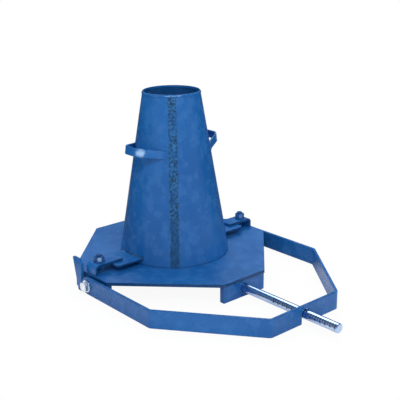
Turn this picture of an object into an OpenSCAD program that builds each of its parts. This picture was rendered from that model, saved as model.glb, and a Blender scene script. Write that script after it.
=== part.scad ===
// Slump cone on a clamping base: a conical steel mould held down on an eight-sided
// plate, with a swing bail of flat bar and a graduated tamping rod kept in the feet.
// X runs along the bail's hinge, -Y points to the bail's bridge and +Z is up.
// Zero is on the cone's axis, at the top face of the base plate.

/* [Cone] */
// Inside diameter at the mouth
mouth_d = 100; // [80:1:130]
// Inside diameter at the foot
foot_d = 200; // [170:1:240]
// Height from the plate to the mouth
cone_h = 300; // [260:1:360]
// Thickness of the sheet
cone_wall = 1.6; // [1:0.1:3]
// Height of the hemmed rim round the mouth
rim_h = 4; // [3:0.5:12]
// Thickness of the hemmed rim
rim_t = 3.2; // [3:0.1:6]
// Width of the long weld
seam_w = 14; // [6:1:16]
// Rise of the long weld over the sheet
seam_rise = 0.8; // [0.4:0.1:2]
// Direction of the long weld round the axis, in degrees
seam_angle = 231.5; // [180:0.5:360]

/* [Handles] */
// Distance from the sheet to the outside of the bow
handle_stand = 27.7; // [22:0.1:40]
// Length of the bow's middle, from corner to corner
handle_flat = 36.4; // [32:0.2:60]
// Inside radius of the bow's bends
handle_bend = 18; // [8:1:20]
// Width of the strip
handle_w = 15; // [12:1:24]
// Thickness of the strip
handle_t = 3; // [2:0.5:5]
// Height at which the bow's plane meets the cone's axis
handle_z = 188.6; // [150:0.2:220]

/* [Foot tabs] */
// Length of a tab, outward from the cone
tab_l = 50; // [42:1:70]
// Width of a tab
tab_w = 58; // [36:1:80]
// Thickness of a tab
tab_t = 4; // [3:0.5:8]
// Height of a tab's underside above the plate
tab_rise = 9.5; // [5:0.5:20]
// Corner radius of a tab
tab_corner = 8; // [2:1:14]

/* [Clamps] */
// Gap from the end of a tab to the axis of its stud
stud_gap = 18.4; // [16:0.2:30]
// Diameter of a stud
stud_d = 10; // [8:1:14]
// Thread showing past a clamp nut
stud_tail = 3.4; // [1:0.2:20]
// Reach of a strap from the stud, towards the cone
strap_reach = 40; // [30:1:55]
// Reach of a strap from the stud to the outside of its heel
heel_reach = 18; // [17:0.5:24]
// Width of a strap
strap_w = 28; // [24:1:30]
// Thickness of a strap
strap_t = 5; // [3:0.5:8]
// Inside radius of the bend above the heel
heel_bend = 3; // [1:0.5:5]
// Thickness of a clamp washer
clamp_washer_t = 2; // [1.5:0.5:4]
// Outside diameter of a clamp washer
clamp_washer_d = 20; // [19:0.5:20]
// Width across the flats of a clamp nut
clamp_nut_af = 16; // [15.5:0.5:17]
// Height of a clamp nut
clamp_nut_h = 8; // [6:0.5:12]
// Turn of a clamp nut's corners from the hinge line, at rest
clamp_nut_turn = 30; // [0:5:60]

/* [Base plate] */
// Thickness of the plate
plate_t = 6; // [4:0.5:12]
// Length of each clipped edge
plate_edge = 96.6; // [84:0.2:120]
// Margin of the plate beyond the clamp heels
plate_margin = 2; // [1:0.5:10]

/* [Feet] */
// Height of a foot bar
foot_h = 30; // [26:1:60]
// Thickness of a foot bar
foot_t = 10; // [6:0.5:16]
// Overhang of the plate past the ends of a foot bar
foot_end_gap = 0.5; // [0.5:0.5:8]
// Overhang of the plate past the outer face of a foot bar
foot_set = 1; // [0.5:0.5:4]
// Leg of a foot's fillet weld
foot_weld = 5; // [3:0.5:6]
// Length of one run of a foot's weld
foot_weld_l = 26; // [10:1:30]

/* [Bail] */
// Width of the flat bar
bail_w = 32; // [26:1:36]
// Thickness of the flat bar
bail_t = 5; // [3:0.5:8]
// Inside radius of the bar's bends
bail_bend = 6; // [3:0.5:15]
// Distance from the pivot to the corner at the end of an arm
bail_arm = 176; // [120:1:220]
// Length of the bridge between its two corners
bridge_l = 158; // [120:1:220]
// Room over the cone's rim when the bail swings up
bail_room = 1.5; // [0.5:0.5:20]
// Gap between the bar lying flat and the ground
bail_ground = 0.5; // [0.3:0.1:3]

/* [Bail pivots] */
// Diameter of a pivot bolt
pivot_d = 10; // [8:1:12]
// Width across the flats of a pivot bolt's head and nut
pivot_af = 17; // [15:0.5:20]
// Height of a pivot bolt's head
pivot_head_h = 6.5; // [4:0.5:9]
// Height of a pivot nut
pivot_nut_h = 8; // [5:0.5:9]
// Outside diameter of the pivot washers and spacers
pivot_washer_d = 22; // [20:1:26]
// Thickness of a pivot washer
pivot_washer_t = 2; // [1:0.5:4]
// Thickness of the spacer between a foot and the bail
pivot_spacer_t = 4.2; // [4:0.1:8]
// Thread showing past a pivot nut
pivot_tail = 2; // [0.5:0.5:4]

/* [Bail stop] */
// Thickness of the stop's upright plate
stop_t = 6; // [4:0.5:10]
// Width of the stop at its head
stop_head = 25; // [18:1:34]
// Width of the stop at its root
stop_root = 12; // [8:1:16]
// Height of the stop's head above the plate
stop_rise = 24; // [16:1:40]
// Length of the cut-off corner at the stop's head
stop_cut = 8; // [3:1:12]
// Height of the block that joins the stop to its foot
stop_block_h = 20; // [10:1:22]

/* [Tamping rod] */
// Diameter of the rod
rod_d = 16; // [12:0.5:18]
// Length of the rod
rod_l = 600; // [560:5:700]
// Length of the rod showing past the rear foot
rod_tail = 12; // [10:1:60]
// Bevel at the rod's front end
rod_bevel = 1; // [0.5:0.5:3]

/* [Hidden] */
// Clearances
pin_fit = 0.05;
stud_room = 0.5;
rod_room = 0.4;
notch_room = 1;
face_room = 0.15;
stop_room = 0.5;
strap_room = 0.2;
weld_room = 0.1;
// Size of the beads at the tabs and handles
tab_weld = 2.5;
handle_weld = 1.5;
// Depth under the sheet that a handle's legs aim at
handle_bite = 3.2;
// Bevel at the corners of hex heads and nuts
hex_bevel = 1;
// Overrun of a cut past the face that it opens
overrun = 1;
// Smoothness of round parts, and points along each bend of flat bar
$fn = 96;
bend_steps = 8;

// Heights
ground_z = -plate_t - foot_h;
pivot_z = ground_z + bail_ground + bail_w / 2;
rim_z = cone_h - rim_h;
tab_top = tab_rise + tab_t;
strap_z = tab_top + strap_room;
strap_top = strap_z + strap_t;
clamp_nut_z = strap_top + clamp_washer_t + face_room;
stud_h = clamp_nut_z + clamp_nut_h + stud_tail;

// Distances from the cone's axis, outwards along the hinge
cone_r = foot_d / 2 + cone_wall;
tab_x = cone_r + tab_l;
stud_x = tab_x + stud_gap;
plate_reach = stud_x + heel_reach + plate_margin;
foot_face = plate_reach - foot_set;
bail_in = foot_face + pivot_spacer_t + face_room;
bail_out = bail_in + bail_t;
washer_x = bail_out + face_room;
pivot_nut_x = foot_face - foot_t - pivot_washer_t - pivot_nut_h;
foot_l = plate_edge - 2 * foot_end_gap;
rod_front = rod_l - 2 * foot_face - rod_tail;

// A handle's bow lies in a plane square to the sheet: these are distances out along that plane
cone_lean = atan2((foot_d - mouth_d) / 2, cone_h);
bow_sheet = cone_out(handle_z) * cos(cone_lean);
bow_corner = [handle_flat / 2, bow_sheet + handle_stand];
bow_leg = bow_sheet - handle_bite;
bow_turn = atan2(bow_corner[0], bow_corner[1]) + acos(bow_leg / norm(bow_corner));
bow_bend_out = handle_bend + handle_t;
bow_bend = bow_corner - bow_bend_out * [tan(bow_turn / 2), 1];

// The bail clears the outside of the rim all the way up
rim_r = mouth_d / 2 + rim_t;
bail_reach = norm([cone_h - pivot_z, rim_r]) + bail_room + bail_t;
bail_bend_out = bail_bend + bail_t;
bail_turn = atan2(bail_reach - bail_arm, bail_out - bridge_l / 2);
bridge_bend = [bridge_l / 2 - bail_bend_out * tan(bail_turn / 2), bail_bend_out - bail_reach];
arm_bend = [bail_out - bail_bend_out, bail_bend_out * tan(45 - bail_turn / 2) - bail_arm];

PAINT = [0.2, 0.4, 0.67];
DARK_PAINT = [0.12, 0.26, 0.46];
ZINC = [0.78, 0.8, 0.82];
STEEL = [0.72, 0.74, 0.76];

function turned(p, a) = [p[0] * cos(a) - p[1] * sin(a), p[0] * sin(a) + p[1] * cos(a)];
function arc(centre, r, from, to) = [
    for (i = [0 : bend_steps]) centre + turned([r, 0], from + (to - from) * i / bend_steps)
];
function reversed(list) = [for (i = [len(list) - 1 : -1 : 0]) list[i]];
function flipped(list) = [for (p = list) [-p[0], p[1]]];

// Outside radius of the cone's sheet at a height
function cone_out(z) = cone_r - (foot_d - mouth_d) / 2 * z / cone_h;

// The right half of a shape, or its mirror image on the left
module on_side(side) {
    mirror([side == "left" ? 1 : 0, 0, 0]) children();
}

// The cone's outside as a solid, with room for a weld round it
module cone_body() {
    rotate_extrude()
        polygon([
            [0, 0], [cone_out(0) + weld_room, 0], [cone_out(rim_z) + weld_room, rim_z], [0, rim_z]
        ]);
}

// The layer of weld metal of the given thickness that lies on the cone's sheet
module cone_layer(thickness) {
    rotate_extrude() translate([weld_room, 0])
        polygon([
            [cone_out(0), 0], [cone_out(0) + thickness, 0],
            [cone_out(rim_z) + thickness, rim_z], [cone_out(rim_z), rim_z]
        ]);
}

// A hexagon with bevelled corners, standing on zero
module hex_prism(af, h, lower_bevel) {
    corner_r = af / 2 / cos(30);
    intersection() {
        linear_extrude(h) circle(r = corner_r, $fn = 6);
        rotate_extrude()
            polygon([
                [0, 0], [corner_r - lower_bevel, 0], [corner_r, lower_bevel],
                [corner_r, h - hex_bevel], [corner_r - hex_bevel, h], [0, h]
            ]);
    }
}

// A flat ring, standing on zero
module ring(outer_d, inner_d, h) {
    difference() {
        cylinder(d = outer_d, h = h);
        translate([0, 0, -overrun]) cylinder(d = inner_d, h = h + 2 * overrun);
    }
}

// What it holds is laid along the right pivot, from x outwards
module along_pivot(x) {
    translate([x, 0, pivot_z]) rotate([0, 90, 0]) children();
}

module base_plate() {
    color(PAINT) difference() {
        translate([0, 0, -plate_t]) linear_extrude(plate_t)
            polygon([
                for (quarter = [0 : 3], end = [-1, 1])
                    turned([plate_reach, end * plate_edge / 2], 90 * quarter)
            ]);
        for (side = [-1, 1])
            translate([side * stud_x, 0, -plate_t - overrun])
                cylinder(d = stud_d + 2 * pin_fit, h = plate_t + 2 * overrun);
    }
}

// A foot bar under the clipped edge that faces the given direction
module foot_bar(direction, hole_d) {
    rotate([0, 0, direction]) difference() {
        translate([foot_face - foot_t, -foot_l / 2, ground_z]) cube([foot_t, foot_l, foot_h]);
        translate([foot_face - foot_t - overrun, 0, pivot_z]) rotate([0, 90, 0])
            cylinder(d = hole_d, h = foot_t + 2 * overrun);
    }
}

module front_foot() {
    color(PAINT) foot_bar(-90, rod_d + 2 * rod_room);
}

module rear_foot() {
    color(PAINT) foot_bar(90, rod_d + 2 * rod_room);
}

module left_hinge_foot() {
    color(PAINT) foot_bar(180, pivot_d + 2 * pin_fit);
}

module right_hinge_foot() {
    color(PAINT) foot_bar(0, pivot_d + 2 * pin_fit);
}

// Two runs of fillet weld along the inner face of each foot, under the plate
module foot_welds() {
    color(PAINT)
        for (direction = [0 : 90 : 270], end = [0, 1])
            rotate([0, 0, direction]) mirror([0, end, 0])
                translate([foot_face - foot_t, foot_l / 2 - foot_weld_l, -plate_t]) rotate([-90, 0, 0])
                    linear_extrude(foot_weld_l) polygon([[0, 0], [-foot_weld, 0], [0, foot_weld]]);
}

// An upright plate behind the left pivot, in line with the bail's arm, on a block welded to the foot
module left_bail_stop() {
    front = bail_w / 2 + stop_room;
    foot_z = ground_z + bail_ground;
    color(PAINT) on_side("left") {
        translate([bail_out - stop_t, 0, 0]) rotate([90, 0, 90]) linear_extrude(stop_t)
            polygon([
                [front, foot_z], [front + stop_root, foot_z], [front + stop_head, stop_rise],
                [front + stop_cut, stop_rise], [front, stop_rise - stop_cut]
            ]);
        translate([foot_face, front, foot_z])
            cube([bail_out - foot_face - stop_t / 2, stop_root, stop_block_h]);
    }
}

// A hex bolt with its head outside the bail and its thread through the foot
module pivot_bolt(side) {
    tail_x = pivot_nut_x - pivot_tail;
    head_x = washer_x + pivot_washer_t;
    color(ZINC) on_side(side) {
        along_pivot(tail_x) cylinder(d = pivot_d, h = head_x - tail_x);
        along_pivot(head_x) hex_prism(pivot_af, pivot_head_h, 0);
    }
}

module left_pivot_bolt() {
    pivot_bolt("left");
}

module right_pivot_bolt() {
    pivot_bolt("right");
}

module pivot_spacers() {
    color(ZINC)
        for (side = ["left", "right"])
            on_side(side) along_pivot(foot_face)
                ring(pivot_washer_d, pivot_d + 2 * pin_fit, pivot_spacer_t);
}

// One washer under each bolt head and one under each nut
module pivot_washers() {
    color(ZINC)
        for (side = ["left", "right"], x = [washer_x, pivot_nut_x + pivot_nut_h])
            on_side(side) along_pivot(x)
                ring(pivot_washer_d, pivot_d + 2 * pin_fit, pivot_washer_t);
}

module pivot_nuts() {
    color(ZINC)
        for (side = ["left", "right"])
            on_side(side) along_pivot(pivot_nut_x) difference() {
                hex_prism(pivot_af, pivot_nut_h, hex_bevel);
                translate([0, 0, -overrun])
                    cylinder(d = pivot_d + 2 * pin_fit, h = pivot_nut_h + 2 * overrun);
            }
}

// A threaded stud set in the plate, with a bevelled tip
module clamp_stud(side) {
    color(DARK_PAINT) on_side(side) translate([stud_x, 0, -plate_t]) rotate_extrude()
        polygon([
            [0, 0], [stud_d / 2, 0], [stud_d / 2, plate_t + stud_h - hex_bevel],
            [stud_d / 2 - hex_bevel, plate_t + stud_h], [0, plate_t + stud_h]
        ]);
}

module left_clamp_stud() {
    clamp_stud("left");
}

module right_clamp_stud() {
    clamp_stud("right");
}

// Rolled sheet, open at both ends
module cone_shell() {
    color(PAINT) rotate_extrude()
        polygon([
            [cone_out(0) - cone_wall, 0], [cone_out(0), 0],
            [cone_out(rim_z), rim_z], [cone_out(rim_z) - cone_wall, rim_z]
        ]);
}

// The sheet's top edge, turned over to a thick rounded hem
module cone_top_rim() {
    color(PAINT) rotate_extrude() translate([mouth_d / 2, 0]) {
        translate([0, rim_z]) square([rim_t, rim_h - rim_t / 2]);
        translate([rim_t / 2, cone_h - rim_t / 2]) circle(d = rim_t);
    }
}

// Half of a line along the bow, from its middle to the end of a leg, at a distance out from the strip
function bow_line(out) = concat(
    arc(bow_bend, bow_bend_out + out, 90, 90 - bow_turn),
    [turned([bow_leg + out, 0], 90 - bow_turn)]
);

// A band that follows the bow, between two distances out from the strip
module bow_band(inside, outside) {
    translate([0, 0, handle_z]) rotate([0, -cone_lean, 0]) translate([0, 0, -handle_w / 2])
        rotate([0, 0, -90]) linear_extrude(handle_w)
            polygon(concat(
                reversed(bow_line(outside)), flipped(bow_line(outside)),
                reversed(flipped(bow_line(inside))), bow_line(inside)
            ));
}

module handle(side) {
    color(PAINT) on_side(side) difference() {
        bow_band(-handle_t, 0);
        cone_body();
    }
}

module left_handle() {
    handle("left");
}

module right_handle() {
    handle("right");
}

// A bead along the outer corner at each end of both handles
module handle_welds() {
    color(PAINT)
        for (side = ["left", "right"])
            on_side(side) intersection() {
                bow_band(0, handle_weld);
                cone_layer(handle_weld);
            }
}

// The long weld of the rolled sheet, ground away where it would pass under a handle
module cone_seam_weld() {
    color(DARK_PAINT) difference() {
        intersection() {
            cone_layer(seam_rise);
            rotate([0, 0, seam_angle]) translate([0, -seam_w / 2, 0])
                cube([cone_r + seam_rise + overrun, seam_w, cone_h]);
        }
        for (side = ["left", "right"])
            on_side(side) bow_band(-handle_t - handle_weld, handle_weld + weld_room);
    }
}

// A flat tab that stands out from the cone, a little above the plate
module foot_tab(side) {
    end = [tab_x - tab_corner, tab_w / 2 - tab_corner];
    color(PAINT) on_side(side) difference() {
        translate([0, 0, tab_rise]) linear_extrude(tab_t)
            polygon(concat(
                [[0, -tab_w / 2]],
                arc([end[0], -end[1]], tab_corner, -90, 0),
                arc(end, tab_corner, 0, 90),
                [[0, tab_w / 2]]
            ));
        cone_body();
    }
}

module left_foot_tab() {
    foot_tab("left");
}

module right_foot_tab() {
    foot_tab("right");
}

// A bead along the top of each tab where it meets the cone
module tab_welds() {
    color(PAINT)
        for (side = ["left", "right"])
            on_side(side) intersection() {
                cone_layer(tab_weld);
                translate([0, -tab_w / 2, tab_top]) cube([tab_x, tab_w, tab_weld]);
            }
}

// Flat bar bent on the flat to half an octagon, with an eye at each end of it.
// The notch under the bridge lets the bar drop over the rod.
module bail_bar() {
    half_out = concat(
        arc(bridge_bend, bail_bend_out, -90, bail_turn - 90),
        arc(arm_bend, bail_bend_out, bail_turn - 90, 0),
        [[bail_out, 0]]
    );
    half_in = concat(
        arc(bridge_bend, bail_bend, -90, bail_turn - 90),
        arc(arm_bend, bail_bend, bail_turn - 90, 0),
        [[bail_in, 0]]
    );
    notch_r = rod_d / 2 + notch_room;
    color(PAINT) difference() {
        union() {
            translate([0, 0, pivot_z - bail_w / 2]) linear_extrude(bail_w)
                polygon(concat(
                    half_out, reversed(half_in), flipped(half_in), reversed(flipped(half_out))
                ));
            for (side = ["left", "right"])
                on_side(side) along_pivot(bail_in) cylinder(d = bail_w, h = bail_t);
        }
        for (side = ["left", "right"])
            on_side(side) along_pivot(bail_in - overrun)
                cylinder(d = pivot_d + 2 * pin_fit, h = bail_t + 2 * overrun);
        translate([0, overrun - bail_reach + bail_t, pivot_z]) rotate([90, 0, 0])
            linear_extrude(bail_t + 2 * overrun) {
                circle(r = notch_r);
                translate([-notch_r, -bail_w]) square([2 * notch_r, bail_w]);
            }
    }
}

// Round bar with a bevelled front end and a domed tamping end behind
module tamping_rod() {
    color(STEEL) translate([0, -foot_face - rod_front, pivot_z]) rotate([-90, 0, 0]) {
        rotate_extrude()
            polygon([
                [0, 0], [rod_d / 2 - rod_bevel, 0], [rod_d / 2, rod_bevel],
                [rod_d / 2, rod_l - rod_d / 2], [0, rod_l - rod_d / 2]
            ]);
        translate([0, 0, rod_l - rod_d / 2]) sphere(d = rod_d);
    }
}

// A strap with its heel bent down to the plate and a hole for the stud
module clamp_strap(side) {
    bend = [stud_x + heel_reach - strap_t - heel_bend, strap_z - heel_bend];
    color(PAINT) on_side(side) difference() {
        translate([0, strap_w / 2, 0]) rotate([90, 0, 0]) linear_extrude(strap_w)
            polygon(concat(
                [[stud_x - strap_reach, strap_top]],
                reversed(arc(bend, heel_bend + strap_t, 0, 90)),
                [[stud_x + heel_reach, strap_room], [stud_x + heel_reach - strap_t, strap_room]],
                arc(bend, heel_bend, 0, 90),
                [[stud_x - strap_reach, strap_z]]
            ));
        translate([stud_x, 0, strap_z - overrun])
            cylinder(d = stud_d + 2 * stud_room, h = strap_t + 2 * overrun);
    }
}

module left_clamp_strap() {
    clamp_strap("left");
}

module right_clamp_strap() {
    clamp_strap("right");
}

module clamp_washer(side) {
    color(DARK_PAINT) on_side(side) translate([stud_x, 0, strap_top])
        ring(clamp_washer_d, stud_d + 2 * stud_room, clamp_washer_t);
}

module left_clamp_washer() {
    clamp_washer("left");
}

module right_clamp_washer() {
    clamp_washer("right");
}

module clamp_nut(side) {
    color(DARK_PAINT) on_side(side) translate([stud_x, 0, clamp_nut_z]) difference() {
        rotate([0, 0, clamp_nut_turn]) hex_prism(clamp_nut_af, clamp_nut_h, hex_bevel);
        translate([0, 0, -overrun])
            cylinder(d = stud_d + 2 * pin_fit, h = clamp_nut_h + 2 * overrun);
    }
}

module left_clamp_nut() {
    clamp_nut("left");
}

module right_clamp_nut() {
    clamp_nut("right");
}

base_plate();
front_foot();
rear_foot();
left_hinge_foot();
right_hinge_foot();
foot_welds();
left_bail_stop();
left_pivot_bolt();
right_pivot_bolt();
pivot_spacers();
pivot_washers();
pivot_nuts();
left_clamp_stud();
right_clamp_stud();
cone_shell();
cone_seam_weld();
cone_top_rim();
left_handle();
right_handle();
handle_welds();
left_foot_tab();
right_foot_tab();
tab_welds();
bail_bar();
tamping_rod();
left_clamp_strap();
right_clamp_strap();
left_clamp_washer();
right_clamp_washer();
left_clamp_nut();
right_clamp_nut();
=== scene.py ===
from math import acos, asin, atan, atan2, cos, pi, radians, sin, tan

import bmesh
import bpy
from mathutils import Matrix, Vector
from mathutils.noise import noise


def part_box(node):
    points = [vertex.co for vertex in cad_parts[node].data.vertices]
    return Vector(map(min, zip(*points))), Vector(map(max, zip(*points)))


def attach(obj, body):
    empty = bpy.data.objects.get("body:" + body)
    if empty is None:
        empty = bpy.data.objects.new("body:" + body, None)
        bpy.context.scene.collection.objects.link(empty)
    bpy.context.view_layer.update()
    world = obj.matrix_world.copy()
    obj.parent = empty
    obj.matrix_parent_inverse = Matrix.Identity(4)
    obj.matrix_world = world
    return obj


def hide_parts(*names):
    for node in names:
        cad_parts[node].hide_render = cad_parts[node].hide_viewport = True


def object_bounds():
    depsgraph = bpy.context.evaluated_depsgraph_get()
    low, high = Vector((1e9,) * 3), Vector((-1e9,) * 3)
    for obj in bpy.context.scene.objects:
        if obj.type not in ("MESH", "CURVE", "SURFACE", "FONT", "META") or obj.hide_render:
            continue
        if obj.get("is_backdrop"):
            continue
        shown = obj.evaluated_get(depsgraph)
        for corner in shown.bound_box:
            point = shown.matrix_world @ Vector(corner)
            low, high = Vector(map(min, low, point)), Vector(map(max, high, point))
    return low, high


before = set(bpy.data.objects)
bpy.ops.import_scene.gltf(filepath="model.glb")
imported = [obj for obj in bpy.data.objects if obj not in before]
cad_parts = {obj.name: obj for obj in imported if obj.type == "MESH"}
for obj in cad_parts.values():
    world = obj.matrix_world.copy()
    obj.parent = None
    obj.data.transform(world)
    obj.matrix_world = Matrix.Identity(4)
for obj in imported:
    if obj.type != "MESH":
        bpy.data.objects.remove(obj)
cad_low, cad_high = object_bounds()

# Base plate
# An eight-sided steel plate, flame cut, with its edges broken and stoved in blue enamel.
# The cone stands on its middle, and a stud is set in a hole at each side.
plate_low, plate_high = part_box("base_plate")
plate_edge = 0.0966
plate_round = 0.0009
stud_x = 0.17
stud_hole = 0.00505
hole_sides = 40
steep = 0.5
flat_angle = radians(1)
sharp_angle = radians(38)

blue_deep = (0.007, 0.1, 0.345, 1)
blue_light = (0.011, 0.13, 0.415, 1)
blue_thin = (0.005, 0.05, 0.17, 1)
dust_blue = (0.045, 0.19, 0.5, 1)
# Colour of darker cut edges: thin paint on the plate, painted shade on the tabs.
cut_dark_and_shade = (0.003, 0.03, 0.09, 1)
scuff_pale = (0.16, 0.3, 0.55, 1)
blue_paint = (blue_deep, blue_light, blue_thin)
blue_gloss = 0.22
plate_gloss = 0.34
dust_share = 0.3
speck_share = 0.35
scuff_share = 0.08
chip_share = 0.75
cut_share = 0.7
peel_depth = 0.001
enamel_ior = 1.4


class Shade:
    """One output in a shader tree: sums of shades add Math nodes, and add() makes any other node."""

    def __init__(self, tree, socket):
        self.tree = tree
        self.socket = socket

    def fill(self, node, sockets):
        """Sets or links the named or numbered sockets of a node."""
        for name, value in sockets.items():
            if isinstance(value, Shade):
                self.tree.links.new(value.socket, node.inputs[name])
            else:
                node.inputs[name].default_value = value

    def add(self, kind, settings, sockets, output=0):
        """The chosen output of a new node, with its settings made first and then its sockets."""
        node = self.tree.nodes.new("ShaderNode" + kind)
        for name, value in settings.items():
            setattr(node, name, value)
        self.fill(node, sockets)
        return Shade(self.tree, node.outputs[output])

    def math(self, operation, first, second):
        """One Math node on two shades or numbers."""
        return self.add("Math", {"operation": operation}, {0: first, 1: second})

    def __add__(self, other):
        return self.math("ADD", self, other)

    def __sub__(self, other):
        return self.math("SUBTRACT", self, other)

    def __rsub__(self, other):
        return self.math("SUBTRACT", other, self)

    def __mul__(self, other):
        return self.math("MULTIPLY", self, other)

    __radd__ = __add__
    __rmul__ = __mul__

    def grain(self, scale, detail):
        """Noise of the given scale at this place."""
        return self.add("TexNoise", {}, {"Vector": self, "Scale": scale, "Detail": detail})

    def ragged(self, reach, scale, detail):
        """How far a ragged edge strays at this place, half of reach each way."""
        return reach * (self.grain(scale, detail) - 0.5)

    def step(self, low, high):
        """0 under low, 1 over high and smooth between."""
        limits = {"Value": self, "From Min": low, "From Max": high}
        return self.add("MapRange", {"interpolation_type": "SMOOTHSTEP"}, limits)

    def between(self, first, second):
        """A colour that goes from the first to the second as this goes from 0 to 1."""
        return self.add("Mix", {"data_type": "RGBA"}, {0: self, 6: first, 7: second}, output=2)

    def vector(self, operation, second=(0, 0, 0), output="Vector"):
        """Vector Math on this and a second vector."""
        return self.add("VectorMath", {"operation": operation}, {0: self, 1: second}, output)

    def along(self, axis):
        """One coordinate of this place."""
        return self.add("SeparateXYZ", {}, {0: self}, axis)

    def marked(self, layer):
        """What a face layer of the piece holds here."""
        return self.add("Attribute", {"attribute_name": layer}, {}, "Fac")

    def relief(self, strength, depth):
        """A normal bumped by this height, where 1 stands depth high."""
        return self.add("Bump", {}, {"Strength": strength, "Distance": depth, "Height": self})


def new_finish(name):
    """A material and the place on its piece that its patterns read."""
    finish = bpy.data.materials.new(name)
    finish.use_nodes = True
    coordinates = finish.node_tree.nodes.new("ShaderNodeTexCoord")
    return finish, Shade(finish.node_tree, coordinates.outputs["Object"])


def lay_on(finish, place, sockets):
    """Sets the sockets of a material's shader."""
    place.fill(finish.node_tree.nodes["Principled BSDF"], sockets)


def enamel_coat(place, deep, light, thin, gloss):
    """Stoved enamel: clouded and dusty colour, orange peel, faint scuffs, thin paint on edges."""
    clouds = place.grain(8, 4).step(0.32, 0.68)
    specks = place.grain(260, 3).step(0.62, 0.72)
    edges = place.marked("worn")
    chipped = edges * place.grain(150, 4).step(0.46, 0.6)
    stretched = place.add("Mapping", {}, {"Vector": place, "Scale": (30, 260, 30)})
    scuffs = stretched.grain(1, 3).step(0.66, 0.74)
    dust = place.grain(55, 5).step(0.44, 0.64)
    cut = place.marked("cut")
    colour = (dust_share * dust).between(clouds.between(deep, light), dust_blue)
    colour = (speck_share * specks).between(colour, thin)
    colour = (scuff_share * scuffs).between(colour, scuff_pale)
    colour = (chip_share * chipped).between(colour, thin)
    # Cut edges are darker. On the plate this is thin paint on flame-cut steel; on the tabs it is painted
    # shade.
    colour = (cut_share * cut).between(colour, cut_dark_and_shade)
    peel = 0.007 * place.grain(380, 1) + 0.1 * place.grain(22, 2)
    return {
        "Base Color": colour,
        "Roughness": gloss + 0.08 * clouds + 0.1 * scuffs + 0.16 * chipped + 0.06 * dust,
        "Normal": (peel - 0.03 * chipped).relief(0.6, peel_depth),
        "IOR": enamel_ior,
    }


def enamel(name, *coat):
    """A finish of plain enamel."""
    finish, place = new_finish(name)
    lay_on(finish, place, enamel_coat(place, *coat))
    return finish


def cut_flat(outline, holes, thickness, place):
    """Flat stock cut to an outline, with holes of (x, y, radius), in its place."""
    bm = bmesh.new()
    corners = [bm.verts.new((x, y, 0)) for x, y in outline]
    edges = [bm.edges.new(pair) for pair in zip(corners, corners[1:] + corners[:1])]
    for x, y, radius in holes:
        at = Matrix.Translation((x, y, 0))
        ring = bmesh.ops.create_circle(bm, segments=hole_sides, radius=radius, matrix=at)
        edges += dict.fromkeys(edge for vert in ring["verts"] for edge in vert.link_edges)
    bmesh.ops.triangle_fill(bm, use_beauty=True, use_dissolve=False, edges=edges, normal=(0, 0, 1))
    raised = bmesh.ops.extrude_face_region(bm, geom=bm.faces[:])["geom"]
    top = [part for part in raised if isinstance(part, bmesh.types.BMVert)]
    bmesh.ops.translate(bm, vec=(0, 0, thickness), verts=top)
    join_flats(bm)
    bmesh.ops.transform(bm, matrix=place, verts=bm.verts[:])
    return bm


def join_flats(bm):
    """Flat runs of triangles become whole faces, pointing outwards."""
    bmesh.ops.dissolve_limit(
        bm, angle_limit=flat_angle, verts=bm.verts[:], edges=bm.edges[:],
        use_dissolve_boundaries=False, delimit=set())
    bmesh.ops.recalc_face_normals(bm, faces=bm.faces[:])


def soften(bm, width):
    """Rounds the sharp edges and marks the rounded faces as worn."""
    worn = bm.faces.layers.float.new("worn")
    sharp = [e for e in bm.edges if e.is_manifold and e.calc_face_angle() > sharp_angle]
    rounded = bmesh.ops.bevel(
        bm, geom=sharp, offset=width, offset_type="OFFSET", segments=3, profile=0.5,
        affect="EDGES", clamp_overlap=True, material=-1)
    for face in rounded["faces"]:
        face[worn] = 1
    return bm


def mark(bm, layer, chosen):
    """Sets a layer that a finish reads to 1 on the chosen faces."""
    marked = bm.faces.layers.float.new(layer)
    for face in bm.faces:
        if chosen(face):
            face[marked] = 1
    return bm


def cut_edge(face):
    """True on the cut edges of flat stock that lies level."""
    return abs(face.normal.z) < steep


def piece(name, bm, finish, body, slot, *nodes):
    """Makes the finished object, which rides on a body and stands for CAD nodes."""
    mesh = bpy.data.meshes.new(name)
    bm.to_mesh(mesh)
    bm.free()
    mesh.materials.append(finish)
    mesh.shade_smooth()
    mesh.set_sharp_from_angle(angle=sharp_angle)
    made = bpy.data.objects.new(name, mesh)
    bpy.context.scene.collection.objects.link(made)
    made.modifiers.new("flat_faces", "WEIGHTED_NORMAL").keep_sharp = True
    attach(made, body)
    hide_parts(*nodes)
    return made


blue_enamel = enamel("blue_enamel", *blue_paint, blue_gloss)
plate_outline = []
for quarter in range(4):
    for end in (-1, 1):
        corner = Vector((plate_high.x, end * plate_edge / 2))
        corner.rotate(Matrix.Rotation(quarter * pi / 2, 2))
        plate_outline.append(corner)
plate = cut_flat(
    plate_outline, [(-stud_x, 0, stud_hole), (stud_x, 0, stud_hole)],
    plate_high.z - plate_low.z, Matrix.Translation((0, 0, plate_low.z)))
plate_enamel = enamel("plate_enamel", *blue_paint, plate_gloss)
plate = mark(soften(plate, plate_round), "cut", cut_edge)
piece("base_plate_painted", plate, plate_enamel, "base", "blue_enamel", "base_plate")

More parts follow.
